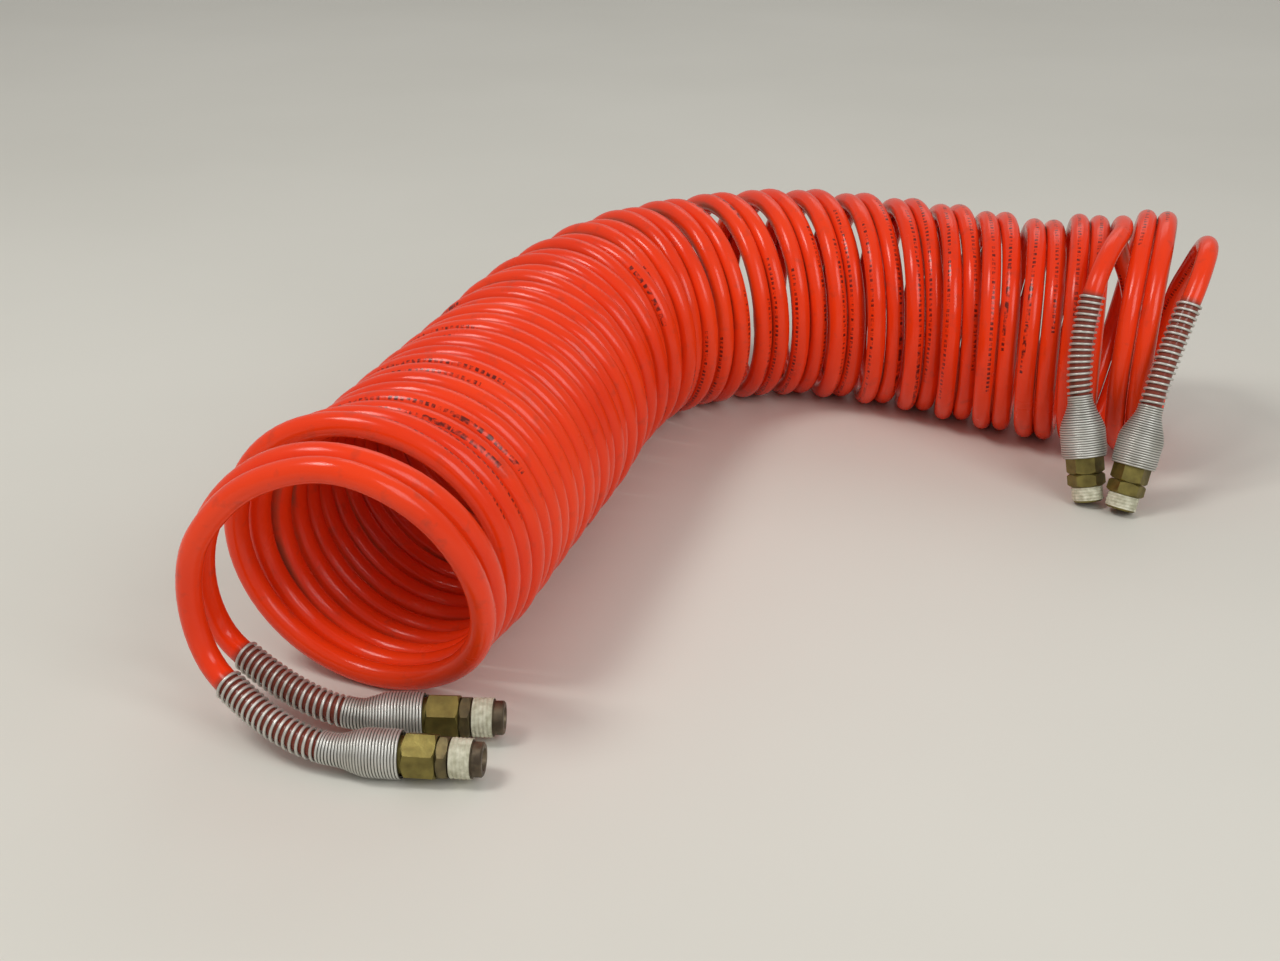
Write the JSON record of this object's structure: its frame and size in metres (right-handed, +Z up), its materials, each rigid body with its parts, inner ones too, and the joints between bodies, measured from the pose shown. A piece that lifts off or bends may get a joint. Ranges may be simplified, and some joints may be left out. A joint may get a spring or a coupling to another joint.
{
  "type": "coiled air hose",
  "caption": "Twin recoil air hose: two orange nylon tubes wound side by side in a bent coil, brass fittings and spring guards at the ends.",
  "frame": {"origin": "on the floor, under the middle of the whole object's box", "axes": "+Z up, -Y toward the loose loops at the near end, +X toward the far end of the bend"},
  "size_m": [0.4174, 0.4186, 0.111],
  "materials": {
    "hose": "smooth glossy nylon tube",
    "spring": "bright zinc plated spring wire",
    "brass": "turned brass, dulled with handling",
    "sealant": "matte white thread sealant",
    "seal": "black nitrile"
  },
  "bodies": {
    "hose": {"hose_a": "hose", "hose_b": "hose", "near_guard_a": "spring", "near_nut_a": "brass", "near_sleeve_a": "brass", "near_body_a": "brass", "near_retainer_a": "spring", "near_guard_b": "spring", "near_nut_b": "brass", "near_sleeve_b": "brass", "near_body_b": "brass", "near_retainer_b": "spring", "far_guard_a": "spring", "far_nut_a": "brass", "far_sleeve_a": "brass", "far_body_a": "brass", "far_sealant_a": "sealant", "far_guard_b": "spring", "far_nut_b": "brass", "far_sleeve_b": "brass", "far_body_b": "brass", "far_sealant_b": "sealant"},
    "stud_a": {"near_stud_a": "brass", "near_sealant_a": "sealant", "near_o_ring_a": "seal"},
    "stud_b": {"near_stud_b": "brass", "near_sealant_b": "sealant", "near_o_ring_b": "seal"}
  },
  "joints": [
    {"name": "swivel_a", "type": "hinge", "parent": "hose", "child": "stud_a", "pos_m": [-0.11992, -0.20103, 0.0086], "axis": [0.9936, -0.1132, 0], "continuous": true},
    {"name": "swivel_b", "type": "hinge", "parent": "hose", "child": "stud_b", "pos_m": [-0.11499, -0.17643, 0.0086], "axis": [0.999, -0.0436, 0], "continuous": true}
  ]
}
